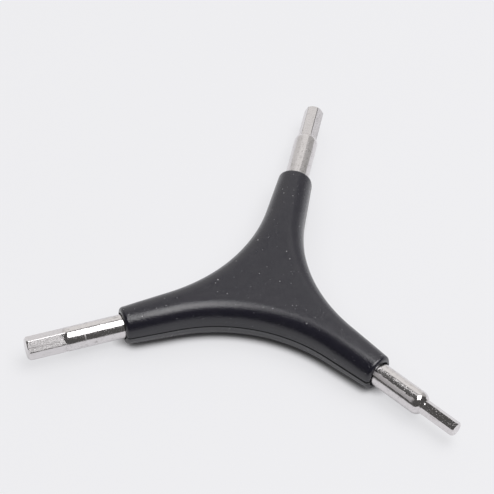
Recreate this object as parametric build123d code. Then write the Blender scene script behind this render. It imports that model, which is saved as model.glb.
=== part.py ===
from build123d import *
import os
from math import cos, radians, sin, sqrt, tan

# Three-armed hex wrench: three plated steel keys trapped between two black moulded handle shells.
# Lengths are in millimetres, angles in degrees, +Z is up. The origin lies on the resting face of the
# handle, straight below the point where the three key axes cross, called the hub centre here.

# Handle, outside
arm_count = 3
handle_reach = 43.0          # hub centre to the mouth of an arm
mouth_half_width = 5.1       # half the width of an arm at its mouth, on the parting plane
arm_flare = 3.5              # each side of an arm opens by this angle towards the hub
waist_depth = 14.25          # hub centre to the nearest point of each concave side
shell_height = 6.3           # parting plane to the flat middle of the top and of the underside
crown_reach = 16.0           # hub centre to where the flat middle starts to fall towards the mouths
crown_fall = 0.8             # how far it has fallen at the mouths, where the arms are thinner
wall_draft = 8.0             # moulding draft of the side walls
arm_flat = 0.15              # half the width of the flat left on top of an arm at its mouth
mouth_rounding = 1.0         # rounding of the rim round each mouth
parting_depth = 0.3          # depth of the fine line left where the shells meet
parting_gap = 0.15           # half the height of that line

# Handle, inside
wall = 2.2                   # shell wall round the hollow hub
hub_reach = 15.5             # hub centre to the end walls of the hollow hub
rib_thickness = 1.6
rib_setback = 0.4            # the ribs stop this far short of the parting plane
centre_boss_radius = 2.9
side_boss_radius = 2.3
side_boss_place = 8.0        # hub centre to each side boss
pin_radius = 1.2
pin_length = 3.0
pin_chamfer = 0.3
pin_fit = 0.1                # clearance round each pin and below it

# Keys
shank_radius = 3.5
key_reach = 71.5             # hub centre to the end of each hex tip
tip_length = 10.5            # length of the hex
run_out_depth = 0.1          # how far the neck dips below the flats where they end
edge_rounding = 0.15         # rounding along the six edges of a hex
key_inner_end = 19.0         # hub centre to the hidden end of each key
key_chamfer = 0.6
seat_radius = 3.2            # the part inside the handle is turned down behind a step at the mouth
step_depth = 0.1             # the step stands this far inside the mouth
flat_half_width = 2.6        # half the distance across the two flats that stop a key turning
flat_length = 9.0
groove_place = 32.0          # hub centre to the start of the retaining groove
groove_width = 2.4
groove_depth = 0.5
seat_fit = 0.08              # clearance between a key and its seat
mouth_relief = 0.45          # how much wider than the shank the bore is at the mouth
mouth_relief_depth = 0.8
tip_end_share = 0.48         # radius of a tip's end face, as a share of its size across flats

cut_margin = 5.0             # overrun of every cutting body

# One entry for each key: size across flats, direction of its arm, the angle that one of its flats
# faces above the horizontal, and the two radii of the shoulder between shank and hex.
keys = {
    "hex_key_6mm": {
        "across_flats": 6.0,
        "arm_angle": 180.0,
        "clocking": 57.5,
        "dome_radius": 2.0,
        "neck_radius": 0.3,
    },
    "hex_key_5mm": {
        "across_flats": 5.0,
        "arm_angle": 60.0,
        "clocking": 83.5,
        "dome_radius": 2.4,
        "neck_radius": 1.6,
    },
    "hex_key_4mm": {
        "across_flats": 4.0,
        "arm_angle": -60.0,
        "clocking": 109.5,
        "dome_radius": 2.4,
        "neck_radius": 2.0,
    },
}

half_turn = 180.0
right_angle = 90.0
half_pitch = half_turn / arm_count
hex_sides = 6
half_hex_pitch = half_turn / hex_sides
arm_angles = [entry["arm_angle"] for entry in keys.values()]
bisector_angles = [angle + half_pitch for angle in arm_angles]
standing = (Align.CENTER, Align.CENTER, Align.MIN)
lying = (Align.MIN, Align.CENTER, Align.MIN)


def at_angle(angle, along, side=0.0):
    """Plan point at a distance along a direction and a distance to its left."""
    turn = radians(angle)
    return (along * cos(turn) - side * sin(turn), along * sin(turn) + side * cos(turn))


def side_arc():
    """Centre distance and radius of the arc that forms each concave side of the plan."""
    flare = radians(arm_flare)
    reach_share = 1 - sin(radians(half_pitch) + flare)
    centre = (waist_depth - mouth_half_width * cos(flare) - handle_reach * sin(flare)) / reach_share
    return centre, centre - waist_depth


def plan_face(inset, reach, height):
    """The Y-shaped plan, drawn in by an inset and ending at a reach along each arm."""
    flare = radians(arm_flare)
    arc_centre, arc_radius = side_arc()
    centre_along = arc_centre * cos(radians(half_pitch))
    centre_side = arc_centre * sin(radians(half_pitch))
    tangent_along = centre_along - (arc_radius + inset) * sin(flare)
    tangent_side = centre_side - (arc_radius + inset) * cos(flare)
    mouth_side = mouth_half_width + (handle_reach - reach) * tan(flare) - inset / cos(flare)
    edges = []
    for index in range(arm_count):
        angle = 2 * half_pitch * index + half_pitch
        following = angle + 2 * half_pitch
        right_corner = at_angle(angle, reach, -mouth_side)
        left_corner = at_angle(angle, reach, mouth_side)
        left_tangent = at_angle(angle, tangent_along, tangent_side)
        waist = at_angle(angle + half_pitch, waist_depth - inset)
        next_tangent = at_angle(following, tangent_along, -tangent_side)
        next_corner = at_angle(following, reach, -mouth_side)
        edges.append(Edge.make_line(right_corner, left_corner))
        edges.append(Edge.make_line(left_corner, left_tangent))
        edges.append(Edge.make_three_point_arc(left_tangent, waist, next_tangent))
        edges.append(Edge.make_line(next_tangent, next_corner))
    return Pos(0, 0, height) * Face(Wire(edges))


def shoulder_radius():
    """Rounding between a side wall and the top, as large as an arm has room for at its mouth.

    It leaves the narrow flat on the arm and, on a low arm, some plain wall for the mouth rounding.
    """
    mouth_height = shell_height - crown_fall
    top_half_width = mouth_half_width - mouth_height * tan(radians(wall_draft))
    room = min(top_half_width - arm_flat, mouth_height - mouth_rounding)
    half_corner = (right_angle + wall_draft) / 2
    return room * tan(radians(half_corner))


def crown():
    """Disc with a flat middle and a rim that falls in one wide arc, which shapes the outer face."""
    slope_length = handle_reach - crown_reach
    slope_radius = (slope_length**2 + crown_fall**2) / (2 * crown_fall)
    rim = handle_reach + cut_margin
    rim_height = shell_height - slope_radius + sqrt(slope_radius**2 - (rim - crown_reach) ** 2)
    outward = (1, 0)
    slope = Edge.make_tangent_arc((crown_reach, shell_height), outward, (rim, rim_height))
    before = line_run([(0, 0), (0, shell_height), (crown_reach, shell_height)])
    after = line_run([(rim, rim_height), (rim, 0), (0, 0)])
    half_section = Plane.XZ * Face(Wire(before + [slope] + after))
    return revolve(half_section, Axis.Z)


def outer_half():
    """Outside of the upper shell: drafted walls, crowned top, rounded shoulder and mouth rims."""
    top_inset = shell_height * tan(radians(wall_draft))
    base = plan_face(0, handle_reach, 0)
    top = plan_face(top_inset, handle_reach, shell_height)
    body = loft([base, top], ruled=True) & crown()
    arm_lines = [Edge.make_line((0, 0), at_angle(angle, handle_reach)) for angle in arm_angles]
    side_edges = []
    for edge in body.edges():
        middle = edge.center()
        foot = Vertex(middle.X, middle.Y, 0)
        aside = min(line.distance_to(foot) for line in arm_lines)
        if middle.Z > shell_height / 2 and aside > mouth_half_width / 2:
            side_edges.append(edge)
    body = fillet(side_edges, shoulder_radius())
    rim_edges = []
    for angle in arm_angles:
        outward = Axis((0, 0, 0), Vector(*at_angle(angle, handle_reach)))
        mouth = body.faces().sort_by(outward)[-1]
        rim_edges += mouth.edges().sort_by(Axis.Z)[1:]
    return fillet(rim_edges, mouth_rounding)


def bosses():
    """Round bosses that carry the pins and sockets, one at the centre and one on each bisector."""
    shapes = [Cylinder(centre_boss_radius, shell_height, align=standing)]
    for angle in bisector_angles:
        boss = Cylinder(side_boss_radius, shell_height, align=standing)
        shapes.append(Pos(*at_angle(angle, side_boss_place)) * boss)
    return shapes


def ribs():
    """Ribs that tie the bosses to the waist walls."""
    rib = Box(waist_depth, rib_thickness, shell_height, align=lying)
    return [Rot(0, 0, angle) * Pos(0, 0, rib_setback) * rib for angle in bisector_angles]


def hub_hollow():
    """Space inside one shell's hub, left open towards the parting plane."""
    plan = plan_face(wall, handle_reach, 0)
    first_bisector = bisector_angles[0]
    ends = RegularPolygon(hub_reach, arm_count, major_radius=False, rotation=first_bisector, align=None)
    hollow = extrude(plan & ends, shell_height - wall)
    ceiling = hollow.faces().sort_by(Axis.Z)[-1]
    hollow = fillet(ceiling.edges(), shoulder_radius() - wall)
    for shape in bosses() + ribs():
        hollow -= shape
    return hollow


def pin_places():
    return [(0, 0)] + [at_angle(angle, side_boss_place) for angle in bisector_angles]


def pins():
    """Pins under the upper shell's bosses, rooted in them."""
    pin = Cylinder(pin_radius, pin_length + pin_radius, align=standing)
    pin = chamfer(pin.faces().sort_by(Axis.Z)[0].edges(), pin_chamfer)
    return [Pos(*place, -pin_length) * pin for place in pin_places()]


def sockets():
    """Holes in the lower shell's bosses that the pins enter."""
    depth = pin_length + pin_fit
    socket = Cylinder(pin_radius + pin_fit, depth + cut_margin, align=standing)
    return [Pos(*place, -depth) * socket for place in pin_places()]


def parting_line():
    """Fine groove round the outside of one shell, beside the parting plane."""
    outside = plan_face(-cut_margin, handle_reach + cut_margin, 0)
    inside = plan_face(parting_depth, handle_reach - parting_depth, 0)
    return extrude(outside - inside, parting_gap)


def turned(points_and_arcs):
    """Solid of revolution round the X axis from the edges of a half profile."""
    return revolve(Face(Wire(points_and_arcs)), Axis.X)


def line_run(points):
    return [Edge.make_line(start, end) for start, end in zip(points, points[1:])]


def shoulder_size(entry):
    """Length and end radius of the shoulder that falls from the shank to the flats."""
    end_radius = entry["across_flats"] / 2 - run_out_depth
    step = shank_radius - end_radius
    radii = entry["dome_radius"] + entry["neck_radius"]
    return sqrt(step * (2 * radii - step)), end_radius


def turned_key(entry):
    """The round part of a key: hidden seat with its groove, step, shank, domed shoulder and neck."""
    length, end_radius = shoulder_size(entry)
    end = key_reach - tip_length
    start = end - length
    dome = entry["dome_radius"]
    neck = entry["neck_radius"]
    blend_share = dome / (dome + neck)
    dome_centre = shank_radius - dome
    neck_centre = end_radius + neck
    blend = (start + length * blend_share, dome_centre + (neck_centre - dome_centre) * blend_share)
    groove_floor = seat_radius - groove_depth
    step = handle_reach - step_depth
    before = line_run([
        (key_inner_end, 0),
        (key_inner_end, seat_radius - key_chamfer),
        (key_inner_end + key_chamfer, seat_radius),
        (groove_place, seat_radius),
        (groove_place, groove_floor),
        (groove_place + groove_width, groove_floor),
        (groove_place + groove_width, seat_radius),
        (step, seat_radius),
        (step, shank_radius),
        (start, shank_radius),
    ])
    outward = (1, 0)
    inward = (-1, 0)
    shoulder = [
        Edge.make_tangent_arc((start, shank_radius), outward, blend),
        Edge.make_tangent_arc((end, end_radius), inward, blend),
    ]
    after = line_run([(end, end_radius), (end, 0), (key_inner_end, 0)])
    return turned(before + shoulder + after), start


def hex_tip(entry, start):
    """Hex prism from inside the shank to the key's end, its edges rounded and its end chamfered."""
    flats = entry["across_flats"]
    plane = Plane(origin=(start, 0, 0), x_dir=(0, 1, 0), z_dir=(1, 0, 0))
    rotation = entry["clocking"] - half_hex_pitch
    section = RegularPolygon(flats / 2, hex_sides, major_radius=False, rotation=rotation)
    section = fillet(section.vertices(), edge_rounding)
    prism = extrude(plane * section, key_reach - start)
    end_radius = flats * tip_end_share
    blank = turned(line_run([
        (start - cut_margin, 0),
        (start - cut_margin, flats),
        (key_reach - (flats - end_radius), flats),
        (key_reach, end_radius),
        (key_reach, 0),
        (start - cut_margin, 0),
    ]))
    return prism & blank


def flats_cutter(first, last, half_width):
    """Two slabs that leave only the space between a pair of flats."""
    depth = shank_radius + cut_margin
    slab = Box(last - first, 2 * depth, depth, align=lying)
    return [Pos(first, 0, half_width) * slab, Pos(first, 0, -half_width - depth) * slab]


def hex_key(entry):
    round_part, start = turned_key(entry)
    key = round_part + hex_tip(entry, start)
    first = key_inner_end - cut_margin
    for slab in flats_cutter(first, key_inner_end + flat_length, flat_half_width):
        key -= slab
    return key


def key_seat():
    """Space that a key takes up in the shells, with its clearance and the wider bore at the mouth."""
    bore = seat_radius + seat_fit
    first = key_inner_end - seat_fit
    collar = seat_radius - groove_depth + seat_fit
    relief_start = handle_reach - mouth_relief_depth
    relief_radius = shank_radius + mouth_relief
    last = handle_reach + cut_margin
    seat = turned(line_run([
        (first, 0),
        (first, bore),
        (groove_place + seat_fit, bore),
        (groove_place + seat_fit, collar),
        (groove_place + groove_width - seat_fit, collar),
        (groove_place + groove_width - seat_fit, bore),
        (relief_start, bore),
        (relief_start, relief_radius),
        (last, relief_radius),
        (last, 0),
        (first, 0),
    ]))
    round_start = key_inner_end + flat_length - seat_fit
    for slab in flats_cutter(first - cut_margin, round_start, flat_half_width + seat_fit):
        seat -= slab
    return seat


def write(name, solid):
    raised = Pos(0, 0, shell_height) * solid
    raised.label = name
    export_step(raised, "parts/" + name + ".step")
    print(name, "volume", round(raised.volume, 1), "solids", len(raised.solids()))


os.makedirs("parts", exist_ok=True)
seats = [Rot(0, 0, entry["arm_angle"]) * key_seat() for entry in keys.values()]
plain_upper = outer_half() - hub_hollow() - parting_line()
plain_lower = mirror(plain_upper, Plane.XY)
upper_shell = plain_upper
lower_shell = plain_lower
for seat in seats:
    upper_shell -= seat
    lower_shell -= seat
for pin in pins():
    upper_shell += pin
for socket in sockets():
    lower_shell -= socket

write("upper_shell", upper_shell)
write("lower_shell", lower_shell)
for name, entry in keys.items():
    write(name, Rot(0, 0, entry["arm_angle"]) * hex_key(entry))
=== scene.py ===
import math

import bpy
from mathutils import Matrix, Vector

# Three-armed hex wrench: two black moulded handle shells round three plated keys. Metres, +Z up.
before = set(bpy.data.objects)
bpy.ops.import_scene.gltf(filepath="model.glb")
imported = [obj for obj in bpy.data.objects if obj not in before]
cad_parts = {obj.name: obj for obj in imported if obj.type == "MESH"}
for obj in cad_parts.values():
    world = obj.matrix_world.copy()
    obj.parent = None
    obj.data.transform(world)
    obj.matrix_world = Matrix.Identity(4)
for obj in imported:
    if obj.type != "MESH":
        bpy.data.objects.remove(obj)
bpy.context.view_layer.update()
print("frame loaded")

# View, found from the tips, mouths and seam in the photograph
view = {
    "aim": (0.0, 0.01751, 0.0063),     # where the middle of the picture meets the seam plane
    "azimuth": -19.78,
    "elevation": 50.82,
    "roll": 2.4,
    "distance": 0.919,
    "focalPixels": 3149.0,             # for a picture of the width below
    "picturePixels": 494.0,
    "sensor": 36.0,                    # in millimetres, as Blender takes it
    "clipStart": 0.01,
}

# Room. Directions are right, away and up as the camera sees them
room = {
    "floorSize": 6.0,
    "floorDrop": 0.00005,              # keeps the floor out of the plane of the underside
    "floorColour": (0.864, 0.863, 0.884),
    "floorRoughness": 0.6,
    "floorEvenness": 0.84,             # share of the open floor that shows its own colour, shadow or not
    "mirrorShare": 0.6,                # this much of it where the object mirrors the floor
    "contactReach": 0.0038,            # the share falls off this near to the object
    "contactOpen": (0.25, 0.80),       # openness of the floor between which the share rises
    "wideReach": 0.012,                # over this reach a painted shadow darkens the floor's glow a little
    "wideOpen": (0.45, 1.0),
    "paintedShadowShare": 0.07,
    "openSamples": 16,
    "turn": view["azimuth"],
    "dimLevel": 0.093,                 # the front, the sides and the ceiling
    "backLevel": 0.91,                 # pale wall behind
    "backLeftLevel": 0.68,
    "backRightLevel": 0.50,
    "wallColour": (1.0, 0.984, 0.960),
    "ceilingFrom": (0.76, 0.87),       # how far up a direction points where the wall ends
    "backFrom": (0.25, 0.55),          # how far away it points where the wall begins
    "rightFrom": (0.28, 0.45),
    "leftFrom": (0.05, 0.60),
}
lamps = [
    # name, place (right, away, up), size (across, along), watts, colour
    ("overheadBox", (0.28, 0.035, 1.0), (0.68, 0.81), 9.3, (1.0, 0.997, 1.0)),
]


class Wire:
    # A socket that takes part in sums, each step adding one Math node
    def __init__(self, tree, socket):
        self.tree = tree
        self.socket = socket

    def step(self, operation, *values):
        node = self.tree.nodes.new("ShaderNodeMath")
        node.operation = operation
        for slotIndex, value in enumerate(values):
            if isinstance(value, Wire):
                self.tree.links.new(value.socket, node.inputs[slotIndex])
            else:
                node.inputs[slotIndex].default_value = value
        return Wire(self.tree, node.outputs[0])

    def __add__(self, other):
        return self.step("ADD", self, other)

    def __radd__(self, other):
        return self.step("ADD", other, self)

    def __sub__(self, other):
        return self.step("SUBTRACT", self, other)

    def __rsub__(self, other):
        return self.step("SUBTRACT", other, self)

    def __mul__(self, other):
        return self.step("MULTIPLY", self, other)

    def __rmul__(self, other):
        return self.step("MULTIPLY", other, self)

    def __truediv__(self, other):
        return self.step("DIVIDE", self, other)

    def __pow__(self, other):
        return self.step("POWER", self, other)

    def __abs__(self):
        return self.step("ABSOLUTE", self)

    def __floor__(self):
        return self.step("FLOOR", self)

    def most(self, other):
        return self.step("MAXIMUM", self, other)


class Sheet:
    # A node tree and the one way to add nodes to it
    def __init__(self, tree):
        self.tree = tree

    def add(self, kind, settings=None, sockets=None, output=0):
        node = self.tree.nodes.new(kind)
        for key, value in (settings or {}).items():
            setattr(node, key, value)
        for key, value in (sockets or {}).items():
            self.feed(node.inputs[key], value)
        return Wire(self.tree, node.outputs[output])

    def feed(self, socket, value):
        if isinstance(value, Wire):
            self.tree.links.new(value.socket, socket)
        else:
            socket.default_value = value

    def fade(self, value, start, end, low=0.0, high=1.0):
        # smooth step from low to high between two values
        sockets = {"Value": value, "From Min": start, "From Max": end, "To Min": low, "To Max": high}
        return self.add("ShaderNodeMapRange", {"interpolation_type": "SMOOTHSTEP"}, sockets)

    def dot(self, first, second):
        return self.add("ShaderNodeVectorMath", {"operation": "DOT_PRODUCT"}, {0: first, 1: second}, "Value")


class Finish(Sheet):
    # A material with its shader
    def __init__(self, name):
        self.material = bpy.data.materials.new(name)
        self.material.use_nodes = True
        super().__init__(self.material.node_tree)
        self.shader = self.tree.nodes["Principled BSDF"]

    def put(self, **sockets):
        for key, value in sockets.items():
            self.feed(self.shader.inputs[key.replace("_", " ")], value)

    def noise(self, place, scale, detail, roughness):
        sockets = {"Vector": place, "Scale": scale, "Detail": detail, "Roughness": roughness}
        return self.add("ShaderNodeTexNoise", None, sockets)

    def blend(self, share, first, second):
        # a Mix node's two colours are its sockets 6 and 7, and the mixed one is its output 2
        sockets = {0: share}
        for index, colour in ((6, first), (7, second)):
            sockets[index] = colour if isinstance(colour, Wire) else (*colour, 1.0)
        return self.add("ShaderNodeMix", {"data_type": "RGBA"}, sockets, 2)

    def bump(self, height, distance, normal=None):
        sockets = {"Height": height, "Distance": distance}
        if normal:
            sockets["Normal"] = normal
        return self.add("ShaderNodeBump", None, sockets)


def toward(value, goal, share):
    # takes a number part of the way to a goal
    return value + (goal - value) * share


# A noise is given as cells per metre, detail and roughness, and swings round this middle
noiseMiddle = 0.5
plastic = {
    "colour": (0.0098, 0.0092, 0.0182),
    "scuffColour": (0.030, 0.029, 0.036),
    "scuffPower": 3.0,
    "scuffShare": 0.8,
    "ior": 1.60,
    "roughness": (0.17, 0.26),
    "roughnessMix": (0.5, 0.9),        # shares of mottle and grain that it follows
    "roughnessSpan": (0.50, 0.90),     # level of that mix between which it rises
    "sheen": 0.05,
    "mottle": (420.0, 4.0, 0.6),
    "grain": (2700.0, 3.0, 0.55),      # moulded texture
    "grainHeight": 0.000070,
    "fine": (11000.0, 1.0, 0.5),
    "fineHeight": 0.0000015,
    "specks": (                        # cells per metre, size as a share of a cell, how bright
        (260.0, 0.065, 2.6),
        (430.0, 0.070, 2.0),
        (640.0, 0.070, 1.0),
    ),
    "speckCore": 0.7,                  # share of its size within which a speck is full
    "speckColour": (0.34, 0.34, 0.35),
    "speckRoughness": 0.2,
    "partingHeight": 0.0063,
    "partingReach": 0.00030,           # of the dark line, to either side: dirt in the seam, and painted shade of its gap
    "partingCore": 0.5,                # share of it within which the line is full
    "partingDirtAndShadeColour": (0.003, 0.003, 0.004),
    "partingRoughness": 0.90,
    "openArm": -60.0,                  # direction of the 4 mm arm, along which the painted shade of the gap widens the line
    "openFrom": (0.012, 0.036),        # it starts to open this far out, and is open from there
    "opening": 0.00028,
    "openRise": 0.5,                   # share of the opening by which its middle rises
    "openReach": 0.7,                  # and by which the line reaches further
}


def buildPlastic():
    finish = Finish("blackMouldedPlastic")
    place = finish.add("ShaderNodeTexCoord", output="Object")
    mottle = finish.noise(place, *plastic["mottle"])
    grain = finish.noise(place, *plastic["grain"])
    fine = finish.noise(place, *plastic["fine"])

    speck = 0.0
    for scale, size, gain in plastic["specks"]:
        cell = {"Vector": place, "Scale": scale}
        away = finish.add("ShaderNodeTexVoronoi", None, cell, "Distance")
        cellColour = finish.add("ShaderNodeTexVoronoi", None, cell, "Color")
        lot = finish.add("ShaderNodeSeparateColor", None, {"Color": cellColour}, "Red")
        speck = finish.fade(away, size, size * plastic["speckCore"]) * lot * gain + speck

    height = finish.add("ShaderNodeSeparateXYZ", None, {"Vector": place}, "Z")
    arm = math.radians(plastic["openArm"])
    outward = finish.dot(place, (math.cos(arm), math.sin(arm), 0.0))
    opening = finish.fade(outward, *plastic["openFrom"]) * plastic["opening"]
    # dark parting line: dirt in the seam and painted shade of its gap, which widens along the 4 mm arm
    above = height - plastic["partingHeight"] - opening * plastic["openRise"]
    reach = opening * plastic["openReach"] + plastic["partingReach"]
    partingDirtAndShade = finish.fade(abs(above), reach, reach * plastic["partingCore"])

    smooth, rough = plastic["roughness"]
    mottleShare, grainShare = plastic["roughnessMix"]
    mixed = mottle * mottleShare + grain * grainShare
    roughness = finish.fade(mixed, *plastic["roughnessSpan"], smooth, rough)
    roughness = roughness + partingDirtAndShade * (plastic["partingRoughness"] - rough) + speck * plastic["speckRoughness"]

    scuff = mottle ** plastic["scuffPower"] * plastic["scuffShare"]
    colour = finish.blend(scuff, plastic["colour"], plastic["scuffColour"])
    colour = finish.blend(speck, colour, plastic["speckColour"])
    colour = finish.blend(partingDirtAndShade, colour, plastic["partingDirtAndShadeColour"])
    coarse = finish.bump(grain, plastic["grainHeight"])
    finish.put(Base_Color=colour, Roughness=roughness, IOR=plastic["ior"], Sheen_Weight=plastic["sheen"])
    finish.put(Normal=finish.bump(fine, plastic["fineHeight"], coarse))
    return finish.material


# Plated steel. Lengths are along the key from where the three axes cross, angles are round its axis:
# 90 degrees faces up and 0 faces the key's left, looking out along it
steel = {
    "colour": (0.742, 0.718, 0.724),
    "roughness": (0.12, 0.22),
    "roughnessSpan": (0.35, 0.70),     # level of the patches between which it rises
    "axisHeight": 0.0063,
    "waves": (1500.0, 3.0, 0.6),       # waviness of the plating
    "wavesAlong": 0.12,                # share of that scale along the key, which draws them out
    "patches": (750.0, 4.0, 0.65),
    "platingMix": (0.5, 0.8),          # shares of waves and patches in the height of the plating
    "platingHeight": 0.000016,
    "fine": (3600.0, 2.0, 0.5),
    "fineHeight": 0.000004,
    "dullColour": (0.50, 0.480, 0.480),
    "dullMix": (0.4, 0.6),             # shares of waves and patches that the dull places follow
    "dullSpan": (0.52, 0.68),
    "pits": (2600.0, 2.0, 0.5),
    "pitSpan": (0.56, 0.68),
    "pitRoughness": 0.22,
    "pitDull": 0.45,
    "hexFade": 0.0015,                 # length over which the hex takes on its own finish
    "calmShare": 0.7,                  # share of dull places and fine bump that a calm hex loses
    "facetTurn": 60.0,
    "edgeShadeColour": (0.14, 0.13, 0.13),  # painted shade: dark line on the hex edges, where their rounding is shaded
    "edgeWidth": (2.6, 1.04),          # degrees off the edge at which it ends, and within which it is full
    "edgeWander": 3.0,
    "edgeRadius": (0.90, 0.94),        # shares of the corner's radius between which it starts
    "edgeChange": 10.0,                # degrees to either side of the clocking, over which their painted shade changes
}
# Single marks: places are with their key, sizes are here. Angles and wander are in degrees
marks = {
    "stripeWander": (14.0, 26.0),      # of the matt worn stripe, by waves and by patches
    "stripeSoft": 2.0,
    "stripeFarShare": 0.3,             # share of the wander on its far side
    "stripeEnd": (0.0005, -0.001),     # from the start of the hex: where it ends, and from where it is full
    "stripeRoughness": 0.72,
    "nickReach": (0.000267, 19.92),    # along the key and round it
    "nickFade": (1.0, 0.3),            # squared share of that reach where it ends, and where it is full
    "nickRoughness": 0.5,
    "streakWander": 8.0,
    "streakWidth": (3.4, 1.0),
    "streakDarkening": 0.85,
}
keys = {
    "hex_key_6mm": {
        "angle": 180.0,                # direction of the key, seen from above
        "acrossFlats": 0.006,
        "hexStart": 0.0605,
        "clocking": 57.5,              # angle that the middle of the top facet faces
        "hexRoughness": 0.035,         # added to the shank's
        "hexCalm": 0.85,               # how evenly the hex is polished
        "hexPits": 0.1,                # its pits, as a share of the shank's
        "edgeShadeSides": (1.0, 0.0),        # painted shade of the hex edges below and above the clocking
        "stripe": None,                # matt worn stripe: between which angles
        "nick": (0.0547, 44.0),        # how far out, at which angle
        "streak": (50.0, 0.0600, 0.0640),    # angle, where it starts, where it is full, of a darker streak in the colour
    },
    "hex_key_5mm": {
        "angle": 60.0,
        "acrossFlats": 0.005,
        "hexStart": 0.0595,
        "clocking": 83.5,
        "hexRoughness": 0.08,
        "hexCalm": 0.5,
        "hexPits": 0.7,
        "edgeShadeSides": (0.4, 1.0),
        "stripe": None,
        "nick": None,
        "streak": None,
    },
    "hex_key_4mm": {
        "angle": -60.0,
        "acrossFlats": 0.004,
        "hexStart": 0.0575,
        "clocking": 109.5,
        "hexRoughness": -0.07,
        "hexCalm": 0.2,
        "hexPits": 1.1,
        "edgeShadeSides": (0.3, 0.3),
        "stripe": (122.0, 141.0),
        "nick": None,
        "streak": None,
    },
}


class KeyFinish(Finish):
    # Plated steel laid along one key, with the places and noises that its marks share
    def __init__(self, name, key):
        super().__init__("platedSteel_" + name)
        self.key = key
        laid = {"Vector": self.add("ShaderNodeTexCoord", output="Object")}
        laid["Location"] = (0.0, 0.0, -steel["axisHeight"])
        laid["Rotation"] = (0.0, 0.0, -math.radians(key["angle"]))
        self.place = self.add("ShaderNodeMapping", None, laid)
        placed = {"Vector": self.place}
        parts = [self.add("ShaderNodeSeparateXYZ", None, placed, axis) for axis in "XYZ"]
        self.along, self.side, self.up = parts
        self.angle = self.up.step("ARCTAN2", self.up, self.side) * math.degrees(1.0)
        drawn = {"Vector": self.place, "Scale": (steel["wavesAlong"], 1.0, 1.0)}
        self.waves = self.noise(self.add("ShaderNodeMapping", None, drawn), *steel["waves"])
        self.patches = self.noise(self.place, *steel["patches"])
        self.onHex = self.fade(self.along, key["hexStart"], key["hexStart"] + steel["hexFade"])

    def mix(self, shares):
        waveShare, patchShare = shares
        return self.waves * waveShare + self.patches * patchShare

    def stripe(self):
        low, high = self.key["stripe"]
        waveTurn, patchTurn = marks["stripeWander"]
        wander = (self.waves - noiseMiddle) * waveTurn + (self.patches - noiseMiddle) * patchTurn
        soft = marks["stripeSoft"]
        near = self.fade(self.angle + wander, low - soft, low + soft)
        far = self.fade(self.angle + wander * marks["stripeFarShare"], high + soft, high - soft)
        end, full = [self.key["hexStart"] + past for past in marks["stripeEnd"]]
        return near * far * self.fade(self.along, end, full)

    def nick(self):
        spot, turn = self.key["nick"]
        length, width = marks["nickReach"]
        out = (self.along - spot) / length
        across = (self.angle - turn) / width
        return self.fade(out * out + across * across, *marks["nickFade"])

    def streak(self):
        turn, start, full = self.key["streak"]
        off = self.angle + (self.waves - noiseMiddle) * marks["streakWander"] - turn
        return self.fade(abs(off), *marks["streakWidth"]) * self.fade(self.along, start, full)

    # painted shade: a dark line along the rounded hex edges, its strength different below and above the
    # clocking
    def paintedEdgeShade(self):
        turns = (self.angle - self.key["clocking"]) / steel["facetTurn"]
        off = (turns - math.floor(turns)) * steel["facetTurn"] - steel["facetTurn"] / 2
        edge = self.fade(abs(off) + (self.waves - noiseMiddle) * steel["edgeWander"], *steel["edgeWidth"])
        radius = (self.up * self.up + self.side * self.side) ** 0.5
        corner = self.key["acrossFlats"] / math.sqrt(3.0)
        start, full = [corner * share for share in steel["edgeRadius"]]
        low = self.key["clocking"] - steel["edgeChange"]
        high = self.key["clocking"] + steel["edgeChange"]
        shadeSide = self.fade(self.angle, low, high, *self.key["edgeShadeSides"])
        return edge * self.fade(radius, start, full) * self.onHex * shadeSide


def buildSteel(name, key):
    finish = KeyFinish(name, key)
    smooth, rough = steel["roughness"]
    calm = finish.onHex * key["hexCalm"]
    quiet = 1 - calm * steel["calmShare"]
    pits = finish.fade(finish.noise(finish.place, *steel["pits"]), *steel["pitSpan"])
    pits = pits * (1 - finish.onHex * (1 - key["hexPits"]))
    roughness = finish.fade(finish.patches, *steel["roughnessSpan"], smooth, rough)
    roughness = toward(roughness, (smooth + rough) / 2, calm)
    roughness = roughness + pits * steel["pitRoughness"] + finish.onHex * key["hexRoughness"]
    dullAndStreak = (finish.fade(finish.mix(steel["dullMix"]), *steel["dullSpan"]) + pits * steel["pitDull"]) * quiet

    if key["stripe"]:
        stripe = finish.stripe()
        roughness = toward(roughness, marks["stripeRoughness"], stripe)
        dullAndStreak = dullAndStreak * (1 - stripe)
    if key["nick"]:
        roughness = toward(roughness, marks["nickRoughness"], finish.nick())
    # a darker streak along the facet, in the colour only
    if key["streak"]:
        dullAndStreak = dullAndStreak + finish.streak() * marks["streakDarkening"]

    colour = finish.blend(dullAndStreak, steel["colour"], steel["dullColour"])
    # painted shade on the hex edges
    colour = finish.blend(finish.paintedEdgeShade(), colour, steel["edgeShadeColour"])
    plating = finish.bump(finish.mix(steel["platingMix"]) * (1 - calm), steel["platingHeight"])
    fine = finish.noise(finish.place, *steel["fine"]) * quiet
    finish.put(Base_Color=colour, Metallic=1.0, Roughness=roughness)
    finish.put(Normal=finish.bump(fine, steel["fineHeight"], plating))
    return finish.material


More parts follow.
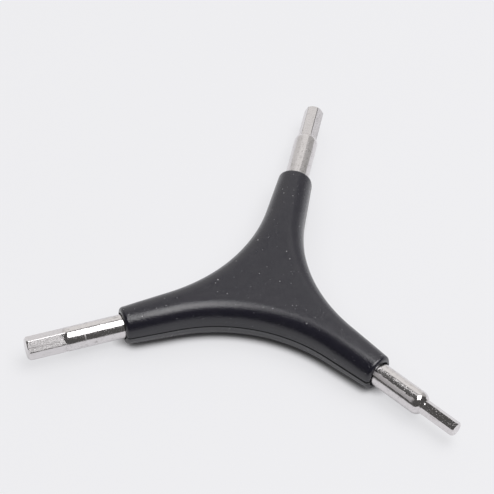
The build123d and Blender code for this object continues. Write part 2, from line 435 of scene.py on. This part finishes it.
def buildFloor():
    bpy.ops.mesh.primitive_plane_add(size=room["floorSize"], location=(0.0, 0.0, -room["floorDrop"]))
    floor = bpy.context.object
    floor.name = "floor"
    finish = Finish("paleFloor")
    colour = (*room["floorColour"], 1.0)
    finish.put(Base_Color=colour, Roughness=room["floorRoughness"])
    rays = ("Is Camera Ray", "Is Glossy Ray", "Is Transmission Ray")
    seen, mirrored, through = [finish.add("ShaderNodeLightPath", output=ray) for ray in rays]
    watched = seen.most(through).most(mirrored * room["mirrorShare"])

    def openness(reach):
        samples = {"samples": room["openSamples"]}
        return finish.add("ShaderNodeAmbientOcclusion", samples, {"Distance": reach}, "AO")

    clear = finish.fade(openness(room["contactReach"]), *room["contactOpen"])
    wide = finish.fade(openness(room["wideReach"]), *room["wideOpen"])
    # painted shadow: the floor's glow dims near the object, by how open the floor is over the wider reach
    shade = 1 - room["paintedShadowShare"] + wide * room["paintedShadowShare"]
    glow = finish.add("ShaderNodeEmission", None, {"Color": colour, "Strength": shade})
    lit = Wire(finish.tree, finish.shader.outputs[0])
    even = watched * clear * room["floorEvenness"]
    mixed = finish.add("ShaderNodeMixShader", None, {0: even, 1: lit, 2: glow})
    finish.feed(finish.tree.nodes["Material Output"].inputs["Surface"], mixed)
    floor.data.materials.append(finish.material)


def buildLamps():
    turn = Matrix.Rotation(math.radians(room["turn"]), 4, "Z")
    for name, place, size, watts, colour in lamps:
        data = bpy.data.lights.new(name, "AREA")
        data.shape = "RECTANGLE"
        data.size, data.size_y = size
        data.energy = watts
        data.color = colour
        lamp = bpy.data.objects.new(name, data)
        bpy.context.scene.collection.objects.link(lamp)
        spot = Vector(place)
        back = spot.normalized()
        across = Vector((0.0, 1.0, 0.0)).cross(back).normalized()
        facing = Matrix((across, back.cross(across), back)).transposed().to_4x4()
        lamp.matrix_world = turn @ Matrix.Translation(spot) @ facing


def buildWalls():
    world = bpy.data.worlds.new("room")
    bpy.context.scene.world = world
    world.use_nodes = True
    sheet = Sheet(world.node_tree)
    turn = Matrix.Rotation(math.radians(room["turn"]), 3, "Z")
    direction = sheet.add("ShaderNodeTexCoord", output="Generated")

    def facing(axis, span):
        # 0 to 1 between two shares of a direction
        return sheet.fade(sheet.dot(direction, turn @ Vector(axis)), *span)

    wall = 1 - facing((0.0, 0.0, 1.0), room["ceilingFrom"])
    back = facing((0.0, 1.0, 0.0), room["backFrom"]) * wall
    right = facing((1.0, 0.0, 0.0), room["rightFrom"])
    left = facing((-1.0, 0.0, 0.0), room["leftFrom"])
    backGain = room["backLevel"] - room["dimLevel"] + right * (room["backRightLevel"] - room["backLevel"])
    backGain = backGain + left * (room["backLeftLevel"] - room["backLevel"])
    background = world.node_tree.nodes["Background"]
    sheet.feed(background.inputs["Strength"], back * backGain + room["dimLevel"])
    sheet.feed(background.inputs["Color"], (*room["wallColour"], 1.0))


def buildCamera():
    data = bpy.data.cameras.new("camera")
    data.sensor_width = view["sensor"]
    data.lens = view["focalPixels"] / view["picturePixels"] * view["sensor"]
    data.clip_start = view["clipStart"]
    camera = bpy.data.objects.new("camera", data)
    bpy.context.scene.collection.objects.link(camera)
    turned = Matrix.Rotation(math.radians(view["azimuth"]), 4, "Z")
    tilted = Matrix.Rotation(math.radians(90.0 - view["elevation"]), 4, "X")
    rolled = Matrix.Rotation(math.radians(view["roll"]), 4, "Z")
    away = Matrix.Translation((0.0, 0.0, view["distance"]))
    camera.matrix_world = Matrix.Translation(view["aim"]) @ turned @ tilted @ rolled @ away
    bpy.context.scene.camera = camera


buildFloor()
buildLamps()
buildWalls()
bpy.context.scene.view_settings.view_transform = "Standard"
print("floor, lamp and walls made")

buildCamera()
print("camera set")

handleFinish = buildPlastic()
for nodeName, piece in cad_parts.items():
    finish = buildSteel(nodeName, keys[nodeName]) if nodeName in keys else handleFinish
    for slot in piece.material_slots:
        slot.material = finish
print("finishes made")
